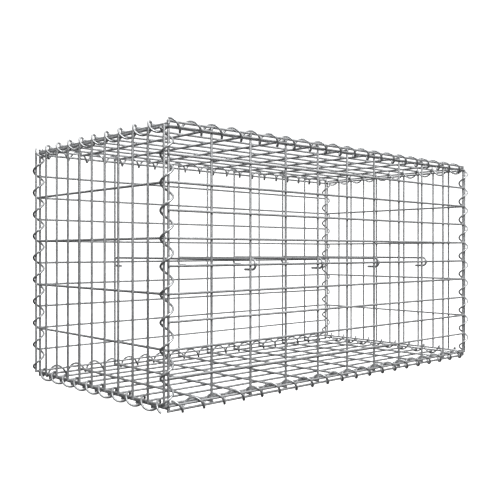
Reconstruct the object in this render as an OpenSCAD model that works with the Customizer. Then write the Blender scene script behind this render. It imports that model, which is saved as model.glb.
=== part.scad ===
// Welded-mesh gabion basket: six mesh panels, laced edge to edge by twelve
// spiral binders and braced inside by four hooked spacer wires.
// Length runs along X, depth along Y, and the basket stands on its base at Z = 0.

/* [Basket] */
// Length between the end uprights of the front panel
basket_l = 1000; // [600:50:1500]
// Depth between the front and back uprights
basket_d = 500; // [300:50:800]
// Height between the lowest and highest rails
basket_h = 500; // [300:50:800]

/* [Mesh] */
// Diameter of the mesh wire
mesh_wire_d = 5; // [3:0.5:6]
// Wide spacing of the mesh wires, centre to centre
wide_pitch = 100; // [75:5:125]
// Narrow spacing of the mesh wires, centre to centre
narrow_pitch = 50; // [40:5:70]
// How deep two wires are pressed into each other at a weld
weld_bite = 0.8; // [0.4:0.1:1.2]
// Wire left standing past the flank of the last wire it crosses
wire_overhang = 0.2; // [0.2:0.1:2]

/* [Spiral binders] */
// Room left inside a spiral, across the stack of wires that it laces
spiral_slack = 3.2; // [3:0.1:8]
// Diameter of the spiral's wire
spiral_wire_d = 4.5; // [3:0.5:5]
// Advance of a spiral in one turn, rounded to whole turns in each mesh bay
spiral_pitch = 50; // [40:5:60]
// Length of edge left bare at each end of a crosswise or upright spiral
spiral_end_gap = 2; // [2:1:20]
// Length of edge left bare at each end of a top lengthwise spiral
top_end_gap = 0; // [0:1:20]
// Length of edge left bare at each end of a bottom lengthwise spiral, which
// ends inside the crosswise ones
bottom_end_gap = 7; // [7:1:20]

/* [Spacers] */
// Diameter of the spacer wire
spacer_wire_d = 5; // [3:0.5:6]
// Centre-line radius of the hook at each end
hook_r = 10; // [8:1:14]
// Straight tail of the hook, back towards the inside
hook_tail = 22; // [10:2:40]

/* [Fits] */
// Clearance where one wire lies against another
seat_gap = 0.3; // [0.3:0.1:0.5]

/* [Hidden] */

// Sides of a mesh bar and of a spiral's section, and the rings in one turn
bar_sides = 8;
coil_sides = 6;
rings_per_turn = 8;

// A polygon of n sides with the same area as a circle of radius r
function same_area_r(r, n) = r * sqrt(2 * PI / (n * sin(360 / n)));

// Mesh bays along each direction, and the spacing that fills the basket exactly.
// In height a wide bay of the end panels spans whole narrow bays of the front.
bays_l = round(basket_l / wide_pitch);
bays_d = round(basket_d / narrow_pitch);
end_bays_h = round(basket_h / wide_pitch);
bays_h = end_bays_h * round(wide_pitch / narrow_pitch);
pitch_l = basket_l / bays_l;
pitch_d = basket_d / bays_d;
pitch_h = basket_h / bays_h;

// Distance between the centres of two welded wires, and from a corner wire
// to the first and second layer of the panel that closes over it
weld_step = mesh_wire_d - weld_bite;
first_layer = mesh_wire_d + wire_overhang + seat_gap;
second_layer = first_layer + weld_step;
wire_end = mesh_wire_d / 2 + wire_overhang;

// Spiral: the room inside it, from the corner wire's inner flank to the closing
// panel's outer flank, and its rings' radius, a little over that of the centre
// line so that the straight stretches between them lie half in, half out
coil_inside_r = (second_layer + mesh_wire_d + spiral_slack) / 2;
ring_r = (coil_inside_r + spiral_wire_d / 2) / cos(90 / rings_per_turn);
section_r = same_area_r(spiral_wire_d / 2, coil_sides);
coil_reach = ring_r + section_r * cos(180 / coil_sides);

// Heights: the bottom spirals carry the base panel's outer wires, and the
// top spirals hang on the lid panel's outer wires
outer_flank = second_layer + mesh_wire_d / 2;
coil_drop = outer_flank + seat_gap - coil_inside_r;
mesh_z = coil_drop + coil_reach;
top_coil_z = mesh_z + basket_h + coil_drop;
base_coil_z = mesh_z - coil_drop;

// Plan positions of the spirals' axes
side_coil_x = basket_l / 2 + first_layer - mesh_wire_d / 4;
front_coil_y = basket_d / 2;
corner_coil_x = basket_l / 2 + coil_drop;

// Where a spiral's turn faces down on a lengthwise edge, or +X on the others,
// as a share of one turn from the edge's start
top_front_turn = 0.51;
top_back_turn = 0.43;
bottom_front_turn = 0.64;
bottom_back_turn = 0.36;
top_left_turn = 0.27;
top_right_turn = 0.23;
bottom_left_turn = 0.73;
bottom_right_turn = 0.78;
front_left_turn = 0.58;
front_right_turn = 0.94;
back_left_turn = 0.8;
back_right_turn = 0;

wire_colour = [0.72, 0.74, 0.75];
coil_colour = [0.62, 0.65, 0.68];
spacer_colour = [0.55, 0.58, 0.62];

// One straight mesh wire along +Z from the origin, flats facing the axes
module bar(length) {
  rotate([0, 0, 180 / bar_sides])
    cylinder(h = length, r = same_area_r(mesh_wire_d / 2, bar_sides), $fn = bar_sides);
}

// A flat welded mesh in the XY plane. Wires along X lie in the layer z = 0,
// wires along Y in the layer z = step; the outer wires cross at the corners.
module mesh(len_x, bays_x, len_y, bays_y, step) {
  union() {
    for (k = [0 : bays_y])
      translate([-wire_end, k * len_y / bays_y, 0])
        rotate([0, 90, 0]) bar(len_x + 2 * wire_end);
    for (k = [0 : bays_x])
      translate([k * len_x / bays_x, -wire_end, step])
        rotate([-90, 0, 0]) bar(len_y + 2 * wire_end);
  }
}

// Long side: rails along X outside, uprights inside, y_side = -1 front, 1 back
module long_panel(y_side) {
  color(wire_colour)
    translate([-basket_l / 2, y_side * (basket_d / 2 + weld_step), mesh_z])
      rotate([90, 0, 0])
        mesh(basket_l, bays_l, basket_h, bays_h, y_side * weld_step);
}

// End: uprights outside, rails along Y inside, x_side = -1 left, 1 right
module end_panel(x_side) {
  color(wire_colour)
    translate([x_side * (basket_l / 2 + first_layer), -basket_d / 2, mesh_z])
      rotate([90, 0, 90])
        mesh(basket_d, bays_d, basket_h, end_bays_h, x_side * weld_step);
}

// Lid or base: wires along X outside, wires along Y inside
module flat_panel(z_outer, z_side) {
  color(wire_colour)
    translate([-basket_l / 2, -basket_d / 2, z_outer])
      mesh(basket_l, bays_l, basket_d, bays_d, -z_side * weld_step);
}

// Centre line of a right-handed spiral about Z, by angle, and the section
// round it, with flats facing in and out
function coil_point(a, turn) = [ring_r * cos(a), ring_r * sin(a), turn * a / 360];
function coil_tangent(a, turn) =
  let (t = [-ring_r * sin(a), ring_r * cos(a), turn / (2 * PI)]) t / norm(t);
function coil_ring(a, turn) =
  let (out = [cos(a), sin(a), 0], side = cross(coil_tangent(a, turn), out))
  [for (k = [0 : coil_sides - 1])
     let (b = 360 * (k + 0.5) / coil_sides)
     coil_point(a, turn) + section_r * (cos(b) * out + sin(b) * side)];

// A spiral along +Z over an edge of the given length and mesh spacing, with
// whole turns in each bay and whole rings only. Its centre line faces +X at
// the given share of the first turn.
module spiral(length, bay, end_gap, face_share) {
  turn = bay / round(bay / spiral_pitch);
  face_at = face_share * turn;
  first = ceil((end_gap - face_at) * rings_per_turn / turn);
  last = floor((length - end_gap - face_at) * rings_per_turn / turn);
  rings = [for (i = [first : last]) coil_ring(i * 360 / rings_per_turn, turn)];
  n = len(rings);
  sides = [for (i = [0 : n - 2], k = [0 : coil_sides - 1])
    let (a = i * coil_sides + k, b = i * coil_sides + (k + 1) % coil_sides)
    each [[a, a + coil_sides, b + coil_sides], [a, b + coil_sides, b]]];
  start_cap = [for (k = [0 : coil_sides - 1]) k];
  end_cap = [for (k = [coil_sides - 1 : -1 : 0]) (n - 1) * coil_sides + k];
  color(coil_colour)
    translate([0, 0, face_at])
      polyhedron([for (ring = rings) each ring], concat(sides, [start_cap, end_cap]), 4);
}

// Spirals along each direction
module lengthwise_spiral(y, z, end_gap, face_share) {
  translate([-basket_l / 2, y, z]) rotate([0, 90, 0])
    spiral(basket_l, pitch_l, end_gap, face_share);
}
module top_spiral(y_side, face_share) {
  lengthwise_spiral(y_side * front_coil_y, top_coil_z, top_end_gap, face_share);
}
module bottom_spiral(y_side, face_share) {
  lengthwise_spiral(y_side * front_coil_y, base_coil_z, bottom_end_gap, face_share);
}
module crosswise_spiral(x, z, face_share) {
  translate([x, -basket_d / 2, z]) rotate([-90, 0, 0])
    spiral(basket_d, pitch_d, spiral_end_gap, face_share);
}
module upright_spiral(x, y, face_share) {
  translate([x, y, mesh_z]) spiral(basket_h, pitch_h, spiral_end_gap, face_share);
}

// Spacer: a straight wire from front to back over the rail at mid height,
// hooked round the outside of that rail at both ends
spacer_rail_z = mesh_z + round(bays_h / 2) * pitch_h;
hook_y = basket_d / 2 + weld_step - (hook_r - spacer_wire_d / 2 - mesh_wire_d / 2 - seat_gap);
spacer_step = (mesh_wire_d + spacer_wire_d) / 2 + seat_gap;
function spacer_x(i) = -basket_l / 2 + round(i * bays_l / 5) * pitch_l + spacer_step;

module spacer(i) {
  color(spacer_colour)
    translate([spacer_x(i), 0, spacer_rail_z]) {
      translate([0, -hook_y, hook_r]) rotate([-90, 0, 0])
        cylinder(h = 2 * hook_y, d = spacer_wire_d, $fn = 32);
      hook();
      mirror([0, 1, 0]) hook();
    }
}

// The hook at the -Y end of a spacer: a half-turn bend and a straight tail
module hook() {
  translate([0, -hook_y, 0]) rotate([0, 90, 0]) rotate([0, 0, 180])
    rotate_extrude(angle = 180, $fn = 64)
      translate([hook_r, 0]) circle(d = spacer_wire_d, $fn = 32);
  translate([0, -hook_y, -hook_r]) rotate([-90, 0, 0])
    cylinder(h = hook_tail, d = spacer_wire_d, $fn = 32);
}

module front_panel() { long_panel(-1); }
module back_panel() { long_panel(1); }
module left_panel() { end_panel(-1); }
module right_panel() { end_panel(1); }
module lid_panel() { flat_panel(mesh_z + basket_h + second_layer, 1); }
module base_panel() { flat_panel(mesh_z - second_layer, -1); }

module top_front_spiral() { top_spiral(-1, top_front_turn); }
module top_back_spiral() { top_spiral(1, top_back_turn); }
module top_left_spiral() { crosswise_spiral(-side_coil_x, top_coil_z, top_left_turn); }
module top_right_spiral() { crosswise_spiral(side_coil_x, top_coil_z, top_right_turn); }
module bottom_front_spiral() { bottom_spiral(-1, bottom_front_turn); }
module bottom_back_spiral() { bottom_spiral(1, bottom_back_turn); }
module bottom_left_spiral() { crosswise_spiral(-side_coil_x, base_coil_z, bottom_left_turn); }
module bottom_right_spiral() { crosswise_spiral(side_coil_x, base_coil_z, bottom_right_turn); }
module front_left_spiral() { upright_spiral(-corner_coil_x, -basket_d / 2, front_left_turn); }
module front_right_spiral() { upright_spiral(corner_coil_x, -basket_d / 2, front_right_turn); }
module back_left_spiral() { upright_spiral(-corner_coil_x, basket_d / 2, back_left_turn); }
module back_right_spiral() { upright_spiral(corner_coil_x, basket_d / 2, back_right_turn); }

module spacer_1() { spacer(1); }
module spacer_2() { spacer(2); }
module spacer_3() { spacer(3); }
module spacer_4() { spacer(4); }

front_panel();
back_panel();
left_panel();
right_panel();
lid_panel();
base_panel();
top_front_spiral();
top_back_spiral();
top_left_spiral();
top_right_spiral();
bottom_front_spiral();
bottom_back_spiral();
bottom_left_spiral();
bottom_right_spiral();
front_left_spiral();
front_right_spiral();
back_left_spiral();
back_right_spiral();
spacer_1();
spacer_2();
spacer_3();
spacer_4();
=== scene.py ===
"""A welded-mesh gabion basket: round galvanised wires, spiral binders and hooked spacers.

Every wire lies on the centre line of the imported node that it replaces. All lengths are in metres.
"""

import math

import bpy
import numpy as np
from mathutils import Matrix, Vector


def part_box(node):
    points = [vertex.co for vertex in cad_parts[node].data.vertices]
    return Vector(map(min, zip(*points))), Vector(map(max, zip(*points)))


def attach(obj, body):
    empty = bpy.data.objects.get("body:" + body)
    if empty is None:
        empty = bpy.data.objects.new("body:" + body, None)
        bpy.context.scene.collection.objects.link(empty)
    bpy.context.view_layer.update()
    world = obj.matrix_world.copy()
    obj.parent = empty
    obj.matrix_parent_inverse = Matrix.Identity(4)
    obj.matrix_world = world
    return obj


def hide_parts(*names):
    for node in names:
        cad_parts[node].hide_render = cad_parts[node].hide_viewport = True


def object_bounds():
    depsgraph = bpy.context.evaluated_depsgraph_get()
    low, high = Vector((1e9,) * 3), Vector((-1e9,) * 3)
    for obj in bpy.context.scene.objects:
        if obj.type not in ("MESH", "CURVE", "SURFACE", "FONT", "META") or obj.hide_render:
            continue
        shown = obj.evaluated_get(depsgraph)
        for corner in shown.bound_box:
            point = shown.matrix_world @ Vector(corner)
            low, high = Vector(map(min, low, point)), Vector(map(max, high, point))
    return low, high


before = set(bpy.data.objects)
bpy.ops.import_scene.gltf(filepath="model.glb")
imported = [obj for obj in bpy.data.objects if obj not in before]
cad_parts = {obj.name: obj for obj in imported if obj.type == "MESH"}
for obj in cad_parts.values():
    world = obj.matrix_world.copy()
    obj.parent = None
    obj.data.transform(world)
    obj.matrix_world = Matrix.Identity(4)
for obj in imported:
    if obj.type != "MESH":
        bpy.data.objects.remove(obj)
cad_low, cad_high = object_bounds()

# Mesh wire: its radius, the step between two welded layers, and what stands past the last
# crossing
WIRE_R = 0.0025
WELD_STEP = 0.0042
WIRE_END = 0.0027
NARROW_PITCH = 0.050
WIDE_PITCH = 0.100

# Spiral binders and hooked spacers
COIL_R = 0.0112
COIL_TURN = 0.050
COIL_WIRE_R = 0.00225
COIL_STEPS = 40
SPACER_R = 0.0025
HOOK_TAIL = 0.022
HOOK_STEPS = 24

# Sections and cut ends: a bevel's length, and the share of the radius that it leaves
WIRE_SIDES = 16
SPACER_SIDES = 24
END_BEVEL = 0.0004
END_SHARE = 0.78

# Welds: rings (distance from the crossing, how much weld shows) and the bead between two wires
WELD_OFFSETS = ((-0.0055, 0.0), (-0.0018, 1.0), (0.0018, 1.0), (0.0055, 0.0))
NUGGET_R = 0.0024
NUGGET_HALF_DEPTH = 0.0009
NUGGET_SIZES = (0.92, 1.06)
NUGGET_WAVE = 0.05
NUGGET_SIDES = 12
NUGGET_RINGS = 5

# Camera: its place along X and Y and over the mesh's lowest wires, and its heading
CAMERA_X, CAMERA_Y, CAMERA_OVER_MESH = -1.238, -1.2605, 0.2765
CAMERA_HEADING = -42.79
LENS_MM = 50.1
SENSOR_MM = 36.0
SHIFT_X, SHIFT_Y = 0.001, 0.0024

# Studio: what the lights face, and the floor's flat part, its upward curve and its wall
LIGHT_AIM = (0, 0, 0.25)
FLOOR_R = 4.0
CURVE_R = 2.0
WALL_TOP = 6.0
CURVE_STEPS = 16
FLOOR_SIDES = 96
FLOOR_GLOW = 0.95

# Wires of a panel's outer layer run along the first axis, those of the inner layer along the
# second
X, Y, Z = 0, 1, 2
PANELS = {
    "front_panel": (X, Z),
    "back_panel": (X, Z),
    "left_panel": (Z, Y),
    "right_panel": (Z, Y),
    "lid_panel": (X, Y),
    "base_panel": (X, Y),
}

random = np.random.default_rng(7)


def node_box(node):
    """A node's lowest and highest corners as arrays."""
    low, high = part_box(node)
    return np.array(low), np.array(high)


def unit(vector):
    return vector / np.linalg.norm(vector)


# --- Shapes: each is (points, faces, corner UVs, weld weights, tone). On a wire, V is the
# distance along it


def tube(path, radii, weld, tone, sides=WIRE_SIDES):
    """A round wire along a path, with flat ends. Each ring turns as little as it can."""
    tangents = np.gradient(path, axis=0)
    tangents /= np.linalg.norm(tangents, axis=1)[:, None]
    side = unit(np.cross(tangents[0], np.eye(3)[np.abs(tangents[0]).argmin()]))
    angles = 2 * math.pi * np.arange(sides) / sides
    rings = []
    for at, tangent, radius in zip(path, tangents, radii):
        side = unit(side - tangent * (side @ tangent))
        up = np.cross(tangent, side)
        ring = np.outer(np.cos(angles), side) + np.outer(np.sin(angles), up)
        rings.append(at + radius * ring)
    points = np.concatenate(rings)
    steps = np.linalg.norm(np.diff(path, axis=0), axis=1)
    along = np.concatenate([[0.0], steps.cumsum()])
    faces, uvs = [], []
    for i in range(len(path) - 1):
        for k in range(sides):
            a, b = i * sides + k, i * sides + (k + 1) % sides
            faces.append((a, b, b + sides, a + sides))
            u0, u1 = k / sides, (k + 1) / sides
            near, far = along[i], along[i + 1]
            uvs += [(u0, near), (u1, near), (u1, far), (u0, far)]
    last = (len(path) - 1) * sides
    faces.append(tuple(range(sides - 1, -1, -1)))
    faces.append(tuple(range(last, last + sides)))
    uvs += [(0.5 + 0.5 * math.cos(a), along[0]) for a in angles[::-1]]
    uvs += [(0.5 + 0.5 * math.cos(a), along[-1]) for a in angles]
    return points, faces, uvs, np.repeat(weld, sides), tone


def cut_ends(distances, length):
    """A wire's ring distances with its two bevelled ends, and each ring's share of the radius."""
    inner = [d for d in distances if END_BEVEL < d < length - END_BEVEL]
    stations = [0.0, END_BEVEL, *inner, length - END_BEVEL, length]
    shares = [END_SHARE, 1.0, *[1.0] * len(inner), 1.0, END_SHARE]
    return np.array(stations), np.array(shares)


def straight_wire(start, end, crossings, tone):
    """A mesh wire with extra rings at its welds. crossings are distances from its start."""
    length = np.linalg.norm(end - start)
    marks = {c + offset: weight for c in crossings for offset, weight in WELD_OFFSETS}
    stations, shares = cut_ends(sorted(marks), length)
    weld = np.array([marks.get(d, 0.0) for d in stations])
    weld[:2], weld[-2:] = weld[2], weld[-3]
    path = start + np.outer(stations, unit(end - start))
    return tube(path, WIRE_R * shares, weld, tone)


def nugget(at, normal, tone):
    """The flattened bead of metal squeezed out where two wires are welded."""
    side = unit(np.cross(normal, np.eye(3)[np.abs(normal).argmin()]))
    up = np.cross(normal, side)
    size = NUGGET_R * random.uniform(*NUGGET_SIZES)
    turn = random.uniform(0, 2 * math.pi)
    angles = turn + 2 * math.pi * np.arange(NUGGET_SIDES) / NUGGET_SIDES
    tilts = np.linspace(-math.pi / 2, math.pi / 2, NUGGET_RINGS + 2)[1:-1]
    edge = size * (1 + NUGGET_WAVE * np.sin(3 * angles))
    points = [at - NUGGET_HALF_DEPTH * normal]
    for tilt in tilts:
        flat = np.outer(edge * np.cos(angles), side) + np.outer(edge * np.sin(angles), up)
        points += list(at + math.cos(tilt) * flat + NUGGET_HALF_DEPTH * math.sin(tilt) * normal)
    points.append(at + NUGGET_HALF_DEPTH * normal)
    faces = []
    n, top = NUGGET_SIDES, len(points) - 1
    for k in range(n):
        after = (k + 1) % n
        faces.append((0, 1 + after, 1 + k))
        for ring in range(NUGGET_RINGS - 1):
            a, b = 1 + ring * n + k, 1 + ring * n + after
            faces.append((a, b, b + n, a + n))
        faces.append((top - n + k, top - n + after, top))
    uvs = [(0.5, 0.0)] * sum(len(face) for face in faces)
    return np.array(points), faces, uvs, np.ones(len(points)), tone


def wire_tone():
    """How light one wire is against its neighbours, from 0 to 1."""
    return random.uniform(0.0, 1.0)


def panel(node, outer_axis, inner_axis):
    """The wires and welds of one mesh panel, from its node's box."""
    low, high = node_box(node)
    normal_axis = 3 - outer_axis - inner_axis
    middle = (low + high) / 2
    outward = np.sign(middle[normal_axis] - (cad_low[normal_axis] + cad_high[normal_axis]) / 2)
    normal = outward * np.eye(3)[normal_axis]
    first, last = low + WIRE_END, high - WIRE_END
    span = last - first
    outer_at = np.linspace(0, span[inner_axis], round(span[inner_axis] / NARROW_PITCH) + 1)
    inner_at = np.linspace(0, span[outer_axis], round(span[outer_axis] / WIDE_PITCH) + 1)
    shapes = []
    layers = (
        (outer_axis, inner_axis, outer_at, inner_at, 1),
        (inner_axis, outer_axis, inner_at, outer_at, -1),
    )
    for along, across, places, crossings, side in layers:
        for place in places:
            start = middle + side * normal * WELD_STEP / 2
            start[across] = first[across] + place
            end = start.copy()
            start[along], end[along] = low[along], high[along]
            shapes.append(straight_wire(start, end, crossings + WIRE_END, wire_tone()))
    for a in inner_at:
        for b in outer_at:
            at = middle.copy()
            at[outer_axis], at[inner_axis] = first[outer_axis] + a, first[inner_axis] + b
            shapes.append(nugget(at, normal, wire_tone()))
    return shapes


def spiral(node):
    """A right-handed spiral binder on its node's centre line, with the phase of the node's mesh."""
    low, high = node_box(node)
    axis = int((high - low).argmax())
    u, v = (axis + 1) % 3, (axis + 2) % 3
    centre = (low + high) / 2
    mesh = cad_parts[node].data
    points = np.array([vertex.co for vertex in mesh.vertices])
    around = (points[:, u] - centre[u]) + 1j * (points[:, v] - centre[v])
    phase = np.angle((around * np.exp(-2j * math.pi * points[:, axis] / COIL_TURN)).sum())
    rise = COIL_TURN / math.hypot(COIL_TURN, 2 * math.pi * COIL_R)
    reach = COIL_WIRE_R * math.sqrt(1 - rise * rise)
    start, end = low[axis] + reach, high[axis] - reach
    length = (end - start) / rise
    steps = round((end - start) / COIL_TURN * COIL_STEPS)
    stations, shares = cut_ends(np.linspace(0, length, steps + 1)[1:-1], length)
    places = start + stations * rise
    angles = 2 * math.pi * places / COIL_TURN + phase
    path = np.zeros((len(places), 3))
    path[:, axis] = places
    path[:, u] = centre[u] + COIL_R * np.cos(angles)
    path[:, v] = centre[v] + COIL_R * np.sin(angles)
    return [tube(path, COIL_WIRE_R * shares, np.zeros(len(path)), wire_tone())]


def spacer(node):
    """A straight wire along Y with a half-turn hook and a short tail at each end."""
    low, high = node_box(node)
    x, y, z = (low + high) / 2
    hook_r = (high[Z] - low[Z]) / 2 - SPACER_R
    bend_y = high[Y] - SPACER_R - hook_r
    half_turn = np.linspace(-math.pi / 2, math.pi / 2, HOOK_STEPS + 1)
    bend = bend_y - y
    hook = [(bend + hook_r * math.cos(a), hook_r * math.sin(a)) for a in half_turn]
    tail = [(hook[0][0] - HOOK_TAIL + d, -hook_r) for d in (0.0, END_BEVEL, HOOK_TAIL / 2)]
    half = tail + hook
    back = [(x, y + a, z + b) for a, b in half]
    front = [(x, y - a, z + b) for a, b in half[::-1]]
    path = np.array(back + front)
    shares = np.ones(len(path))
    shares[0] = shares[-1] = END_SHARE
    return [tube(path, SPACER_R * shares, np.zeros(len(path)), wire_tone(), SPACER_SIDES)]


def make_piece(node, shapes, material):
    """One mesh object of several shapes, which stands for a node and rides on the only body."""
    counts = np.cumsum([0] + [len(shape[0]) for shape in shapes])
    points = np.concatenate([shape[0] for shape in shapes])
    faces = []
    for first, shape in zip(counts, shapes):
        faces += [tuple(i + first for i in face) for face in shape[1]]
    mesh = bpy.data.meshes.new(node + "_wire")
    mesh.from_pydata(points.tolist(), [], faces)
    mesh.shade_smooth()
    layer = mesh.uv_layers.new(name="wire")
    uvs = np.concatenate([shape[2] for shape in shapes])
    layer.uv.foreach_set("vector", uvs.astype(np.float32).ravel())
    weld = mesh.attributes.new("weld", "FLOAT", "POINT")
    welds = np.concatenate([shape[3] for shape in shapes])
    weld.data.foreach_set("value", welds.astype(np.float32))
    tone = mesh.attributes.new("tone", "FLOAT", "POINT")
    tones = [np.full(len(shape[0]), shape[4]) for shape in shapes]
    tone.data.foreach_set("value", np.concatenate(tones).astype(np.float32))
    mesh.set_sharp_from_angle(angle=math.radians(50))
    mesh.materials.append(material)
    piece = bpy.data.objects.new(node + "_wire", mesh)
    bpy.context.scene.collection.objects.link(piece)
    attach(piece, "root")
    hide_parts(node)


# --- Materials


class Nodes:
    """Short calls for adding and linking the nodes of one material."""

    def __init__(self, name):
        self.material = bpy.data.materials.new(name)
        self.material.use_nodes = True
        self.tree = self.material.node_tree
        self.shader = self.tree.nodes["Principled BSDF"]

    def add(self, kind, inputs=(), **settings):
        node = self.tree.nodes.new(kind)
        for key, value in settings.items():
            setattr(node, key, value)
        for key, value in dict(inputs).items():
            if isinstance(value, bpy.types.NodeSocket):
                self.tree.links.new(value, node.inputs[key])
            else:
                node.inputs[key].default_value = value
        return node

    def math(self, operation, a, b):
        return self.add("ShaderNodeMath", {0: a, 1: b}, operation=operation).outputs[0]

    def noise(self, vector, scale, detail):
        inputs = {"Vector": vector, "Scale": scale, "Detail": detail}
        return self.add("ShaderNodeTexNoise", inputs).outputs["Fac"]

    def spread(self, value, low, high, to_low, to_high):
        """value from low..high to to_low..to_high, clamped."""
        span = {"Value": value, "From Min": low, "From Max": high}
        span.update({"To Min": to_low, "To Max": to_high})
        return self.add("ShaderNodeMapRange", span).outputs["Result"]

    def link(self, output, name):
        self.tree.links.new(output, self.shader.inputs[name])


def galvanised(name, dark, light, rough, spangle_scale):
    """Zinc-coated drawn wire: spangles, soft patches, fine draw lines and dull welds."""
    m = Nodes(name)
    place = m.add("ShaderNodeTexCoord").outputs["Object"]
    wire_uv = m.add("ShaderNodeUVMap", uv_map="wire").outputs["UV"]
    weld = m.add("ShaderNodeAttribute", attribute_name="weld").outputs["Fac"]
    tone = m.add("ShaderNodeAttribute", attribute_name="tone").outputs["Fac"]

    cell_inputs = {"Vector": place, "Scale": spangle_scale, "Randomness": 1.0}
    cells = m.add("ShaderNodeTexVoronoi", cell_inputs)
    spangle = m.add("ShaderNodeSeparateColor", {"Color": cells.outputs["Color"]}).outputs["Red"]
    patches = m.noise(place, 14.0, 4.0)
    grain = m.noise(place, 900.0, 3.0)
    stretched = m.add("ShaderNodeMapping", {"Vector": wire_uv, "Scale": (22.0, 18.0, 1.0)})
    lines = m.noise(stretched.outputs["Vector"], 1.0, 3.0)

    bright = m.spread(spangle, 0.0, 1.0, -0.10, 0.10)
    bright = m.math("ADD", bright, m.spread(patches, 0.3, 0.7, -0.14, 0.14))
    bright = m.math("ADD", bright, m.spread(lines, 0.3, 0.7, -0.10, 0.10))
    bright = m.math("ADD", bright, m.spread(tone, 0.0, 1.0, 0.38, 0.62))
    bright = m.math("SUBTRACT", bright, m.math("MULTIPLY", weld, 0.12))
    ramp = m.add("ShaderNodeValToRGB", {"Fac": bright})
    ramp.color_ramp.elements[0].color = (*dark, 1.0)
    ramp.color_ramp.elements[1].color = (*light, 1.0)
    m.link(ramp.outputs["Color"], "Base Color")

    roughness = m.spread(spangle, 0.0, 1.0, rough - 0.05, rough + 0.05)
    roughness = m.math("ADD", roughness, m.spread(grain, 0.3, 0.7, -0.05, 0.05))
    roughness = m.math("ADD", roughness, m.math("MULTIPLY", weld, 0.12))
    m.link(roughness, "Roughness")

    height = m.math("ADD", m.math("MULTIPLY", grain, 0.6), m.math("MULTIPLY", lines, 0.5))
    height = m.math("ADD", height, m.math("MULTIPLY", patches, 0.4))
    bump = m.add("ShaderNodeBump", {"Height": height, "Strength": 0.6, "Distance": 0.00012})
    m.link(bump.outputs["Normal"], "Normal")
    m.shader.inputs["Metallic"].default_value = 0.7
    return m.material


# --- Studio


def white_paper(name, glow):
    """A matt white surface that glows evenly, for the studio."""
    m = Nodes(name)
    m.shader.inputs["Base Color"].default_value = (0.9, 0.9, 0.9, 1.0)
    m.shader.inputs["Roughness"].default_value = 0.9
    m.shader.inputs["Emission Color"].default_value = (1.0, 1.0, 1.0, 1.0)
    m.shader.inputs["Emission Strength"].default_value = glow
    return m.material


def studio_floor():
    """A round white floor that curves up into a wall. It lights nothing and shades nothing."""
    sides = FLOOR_SIDES
    profile = [(0.01, 0.0), (1.0, 0.0), (FLOOR_R, 0.0)]
    for i in range(1, CURVE_STEPS + 1):
        a = math.pi / 2 * i / CURVE_STEPS
        profile.append((FLOOR_R + CURVE_R * math.sin(a), CURVE_R * (1 - math.cos(a))))
    profile.append((FLOOR_R + CURVE_R, WALL_TOP))
    points, faces = [], []
    for r, z in profile:
        for k in range(sides):
            a = 2 * math.pi * k / sides
            points.append((r * math.cos(a), r * math.sin(a), z))
    for i in range(len(profile) - 1):
        for k in range(sides):
            a, b = i * sides + k, i * sides + (k + 1) % sides
            faces.append((a, b, b + sides, a + sides))
    faces.append(tuple(range(sides)))
    mesh = bpy.data.meshes.new("studio_floor")
    mesh.from_pydata(points, [], faces)
    mesh.shade_smooth()
    mesh.materials.append(white_paper("studio_white", FLOOR_GLOW))
    floor = bpy.data.objects.new("studio_floor", mesh)
    bpy.context.scene.collection.objects.link(floor)
    floor.visible_diffuse = False
    floor.visible_glossy = False
    floor.visible_shadow = False


def area_light(name, at, size, power):
    """A soft square light that faces the basket's middle."""
    light = bpy.data.lights.new(name, "AREA")
    light.shape = "SQUARE"
    light.size = size
    light.energy = power
    lamp = bpy.data.objects.new(name, light)
    bpy.context.scene.collection.objects.link(lamp)
    lamp.location = at
    facing = Vector(LIGHT_AIM) - Vector(at)
    lamp.rotation_euler = facing.to_track_quat("-Z", "Y").to_euler()


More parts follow.
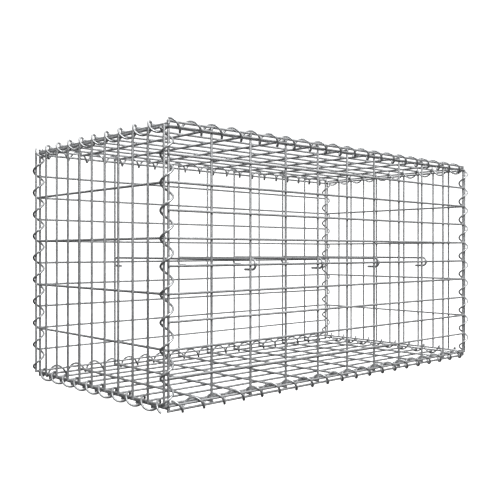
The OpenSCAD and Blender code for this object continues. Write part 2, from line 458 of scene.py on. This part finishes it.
def soft_world(sky, horizon, ground):
    """A room with a bright ceiling and a dark floor, which the wires reflect."""
    world = bpy.data.worlds.new("soft_room")
    world.use_nodes = True
    tree = world.node_tree
    background = tree.nodes["Background"]
    coordinates = tree.nodes.new("ShaderNodeTexCoord")
    parts = tree.nodes.new("ShaderNodeSeparateXYZ")
    height = tree.nodes.new("ShaderNodeMapRange")
    height.inputs["From Min"].default_value = -1.0
    ramp = tree.nodes.new("ShaderNodeValToRGB")
    bands = ramp.color_ramp.elements
    bands[0].position, bands[0].color = 0.42, (ground, ground, ground, 1.0)
    bands[1].position, bands[1].color = 0.85, (sky, sky, sky, 1.0)
    bands.new(0.56).color = (horizon, horizon, horizon, 1.0)
    tree.links.new(coordinates.outputs["Generated"], parts.inputs["Vector"])
    tree.links.new(parts.outputs["Z"], height.inputs["Value"])
    tree.links.new(height.outputs["Result"], ramp.inputs["Fac"])
    tree.links.new(ramp.outputs["Color"], background.inputs["Color"])
    bpy.context.scene.world = world


def camera():
    """The viewpoint: level, at the basket's mid height, off its front left corner."""
    data = bpy.data.cameras.new("camera")
    data.lens = LENS_MM
    data.sensor_width = SENSOR_MM
    data.shift_x = SHIFT_X
    data.shift_y = SHIFT_Y
    cam = bpy.data.objects.new("camera", data)
    bpy.context.scene.collection.objects.link(cam)
    mesh_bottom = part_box("front_panel")[0].z + WIRE_END
    cam.location = (CAMERA_X, CAMERA_Y, mesh_bottom + CAMERA_OVER_MESH)
    cam.rotation_euler = (math.radians(90), 0, math.radians(CAMERA_HEADING))
    bpy.context.scene.camera = cam


bpy.context.scene.view_settings.view_transform = "Standard"
camera()
soft_world(sky=0.7, horizon=0.14, ground=0.05)
area_light("key", (-0.7, -2.3, 2.2), 2.0, 95)
area_light("overhead", (0.4, 0.3, 3.0), 2.2, 25)
studio_floor()

# Darkest and lightest zinc, roughness and the scale of the spangles
mesh_zinc = galvanised("mesh_zinc", (0.30, 0.31, 0.32), (0.82, 0.83, 0.84), 0.42, 260.0)
spiral_zinc = galvanised("spiral_zinc", (0.22, 0.23, 0.24), (0.74, 0.75, 0.76), 0.34, 320.0)
spacer_zinc = galvanised("spacer_zinc", (0.20, 0.21, 0.22), (0.68, 0.69, 0.70), 0.36, 300.0)

for name in sorted(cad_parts):
    if name in PANELS:
        make_piece(name, panel(name, *PANELS[name]), mesh_zinc)
    elif name.endswith("_spiral"):
        make_piece(name, spiral(name), spiral_zinc)
    else:
        make_piece(name, spacer(name), spacer_zinc)
